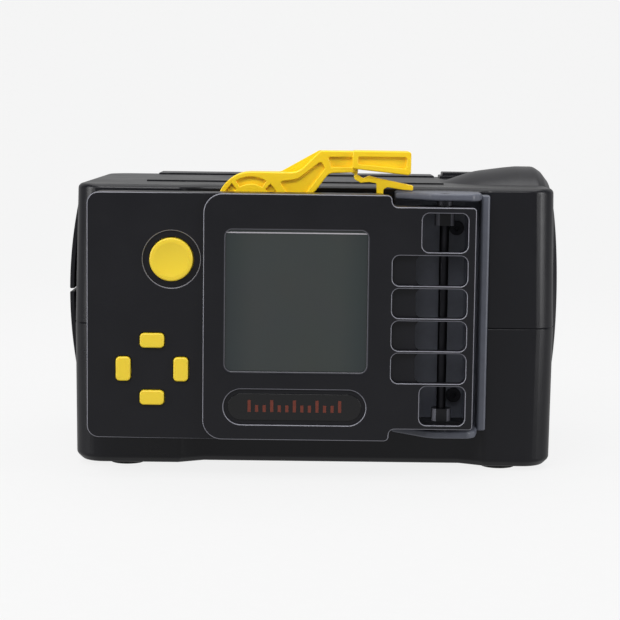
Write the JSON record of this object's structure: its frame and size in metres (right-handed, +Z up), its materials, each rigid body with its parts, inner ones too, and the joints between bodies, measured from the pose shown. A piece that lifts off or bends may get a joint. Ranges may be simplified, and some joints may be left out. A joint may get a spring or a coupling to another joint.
{
  "type": "portable shooting chronograph",
  "caption": "Box-shaped portable measuring instrument with a sensing tunnel through it, a hinged display head with keys, a yellow hanger arm and bowed exit doors.",
  "frame": {"origin": "mouth of the tripod socket, in the middle of the housing's underside", "axes": "+X to the right as the display is read, +Y from the display to the back, +Z up"},
  "size_m": [0.1631, 0.1201, 0.1051],
  "materials": {
    "housing_plastic": "black ABS, satin moulded",
    "tunnel_plastic": "black ABS, plain moulded",
    "head_plastic": "black ABS, fine spark-eroded texture",
    "bracket_plastic": "dark grey glass-filled nylon",
    "yellow_plastic": "yellow acetal, moulded",
    "button_yellow": "yellow ABS, moulded",
    "rubber": "matt",
    "steel": "plated",
    "black_steel": "black oxide",
    "brass": "turned",
    "circuit_board": "solder mask",
    "chip_black": "moulded",
    "led_clear": "cast epoxy",
    "led_dark": "dark cast epoxy",
    "cell_wrap": "shrink sleeve",
    "cell_foil": "foil",
    "display_glass": "smoked clear acrylic over a liquid-crystal panel",
    "frame_white": "moulded",
    "label_black": "moulded",
    "label_red": "printed"
  },
  "bodies": {
    "housing": {"upper_shell": "housing_plastic", "lower_shell": "housing_plastic", "case_screws": "steel", "rubber_feet": "rubber", "top_plate": "housing_plastic", "antenna_cover": "housing_plastic", "antenna_strip": "circuit_board", "sensing_tunnel": "tunnel_plastic", "entry_collar": "housing_plastic", "exit_frame": "tunnel_plastic", "exit_door_pins": "steel", "gate_boards": "circuit_board", "gate_emitters": "led_clear", "gate_receivers": "led_dark", "main_board": "circuit_board", "board_parts": "chip_black", "board_screws": "steel", "battery_tray": "tunnel_plastic", "battery_cells": "cell_wrap", "battery_contacts": "brass", "battery_door_pin": "steel", "power_switch_body": "tunnel_plastic", "tripod_insert": "brass", "hinge_bracket": "bracket_plastic", "bracket_screws": "black_steel", "hinge_pin": "black_steel", "hinge_washers": "black_steel", "latch_keeper": "housing_plastic", "arm_pivot_screw": "steel"},
    "head": {"head_front_cover": "head_plastic", "head_rear_cover": "head_plastic", "head_gasket": "rubber", "head_screws": "steel", "display_lens": "display_glass", "display_panel": "display_glass", "display_frame": "frame_white", "head_board": "circuit_board", "tact_switches": "steel", "pouch_cell": "cell_foil", "charge_socket": "steel", "label_plate": "label_black", "label_marks": "label_red"},
    "arm": {"hanger_arm": "yellow_plastic"},
    "tongue": {"latch_tongue": "yellow_plastic"},
    "upper_door": {"exit_door_upper": "housing_plastic"},
    "lower_door": {"exit_door_lower": "housing_plastic"},
    "battery_lid": {"battery_door": "housing_plastic"},
    "switch_knob": {"power_switch_knob": "button_yellow"},
    "power_cap": {"power_button": "button_yellow"},
    "up_cap": {"key_up": "button_yellow"},
    "down_cap": {"key_down": "button_yellow"},
    "left_cap": {"key_left": "button_yellow"},
    "right_cap": {"key_right": "button_yellow"}
  },
  "joints": [
    {"name": "head_swing", "type": "hinge", "parent": "housing", "child": "head", "pos_m": [0.041, -0.0625, 0.0515], "axis": [0, 0, 1], "range_deg": [0, 160]},
    {"name": "arm_swing", "type": "hinge", "parent": "housing", "child": "arm", "pos_m": [-0.021, -0.0506, 0.0857], "axis": [0, -1, 0], "range_deg": [0, 110]},
    {"name": "tongue_flex", "type": "hinge", "parent": "arm", "child": "tongue", "pos_m": [0.0129, -0.0506, 0.0952], "axis": [0, -1, 0], "range_deg": [0, 8], "stiffness_Nm_per_rad": 0.05, "springref_deg": -2.86},
    {"name": "exit_door_upper_swing", "type": "hinge", "parent": "housing", "child": "upper_door", "pos_m": [-0.0769, 0, 0.085], "axis": [0, 1, 0], "range_deg": [0, 90]},
    {"name": "exit_door_lower_swing", "type": "hinge", "parent": "housing", "child": "lower_door", "pos_m": [-0.0769, 0, 0.026], "axis": [0, -1, 0], "range_deg": [0, 90]},
    {"name": "battery_door_swing", "type": "hinge", "parent": "housing", "child": "battery_lid", "pos_m": [-0.0116, 0.0482, 0.008], "axis": [-1, 0, 0], "range_deg": [0, 90]},
    {"name": "power_switch_slide", "type": "slide", "parent": "housing", "child": "switch_knob", "axis": [1, 0, 0], "range_m": [0, 0.0034]},
    {"name": "power_button_press", "type": "slide", "parent": "head", "child": "power_cap", "axis": [0, 1, 0], "range_m": [0, 0.0008], "stiffness_N_per_m": 600, "springref_m": -0.0006},
    {"name": "key_up_press", "type": "slide", "parent": "head", "child": "up_cap", "axis": [0, 1, 0], "range_m": [0, 0.0008], "stiffness_N_per_m": 400, "springref_m": -0.0006},
    {"name": "key_down_press", "type": "slide", "parent": "head", "child": "down_cap", "axis": [0, 1, 0], "range_m": [0, 0.0008], "stiffness_N_per_m": 400, "springref_m": -0.0006},
    {"name": "key_left_press", "type": "slide", "parent": "head", "child": "left_cap", "axis": [0, 1, 0], "range_m": [0, 0.0008], "stiffness_N_per_m": 400, "springref_m": -0.0006},
    {"name": "key_right_press", "type": "slide", "parent": "head", "child": "right_cap", "axis": [0, 1, 0], "range_m": [0, 0.0008], "stiffness_N_per_m": 400, "springref_m": -0.0006}
  ]
}
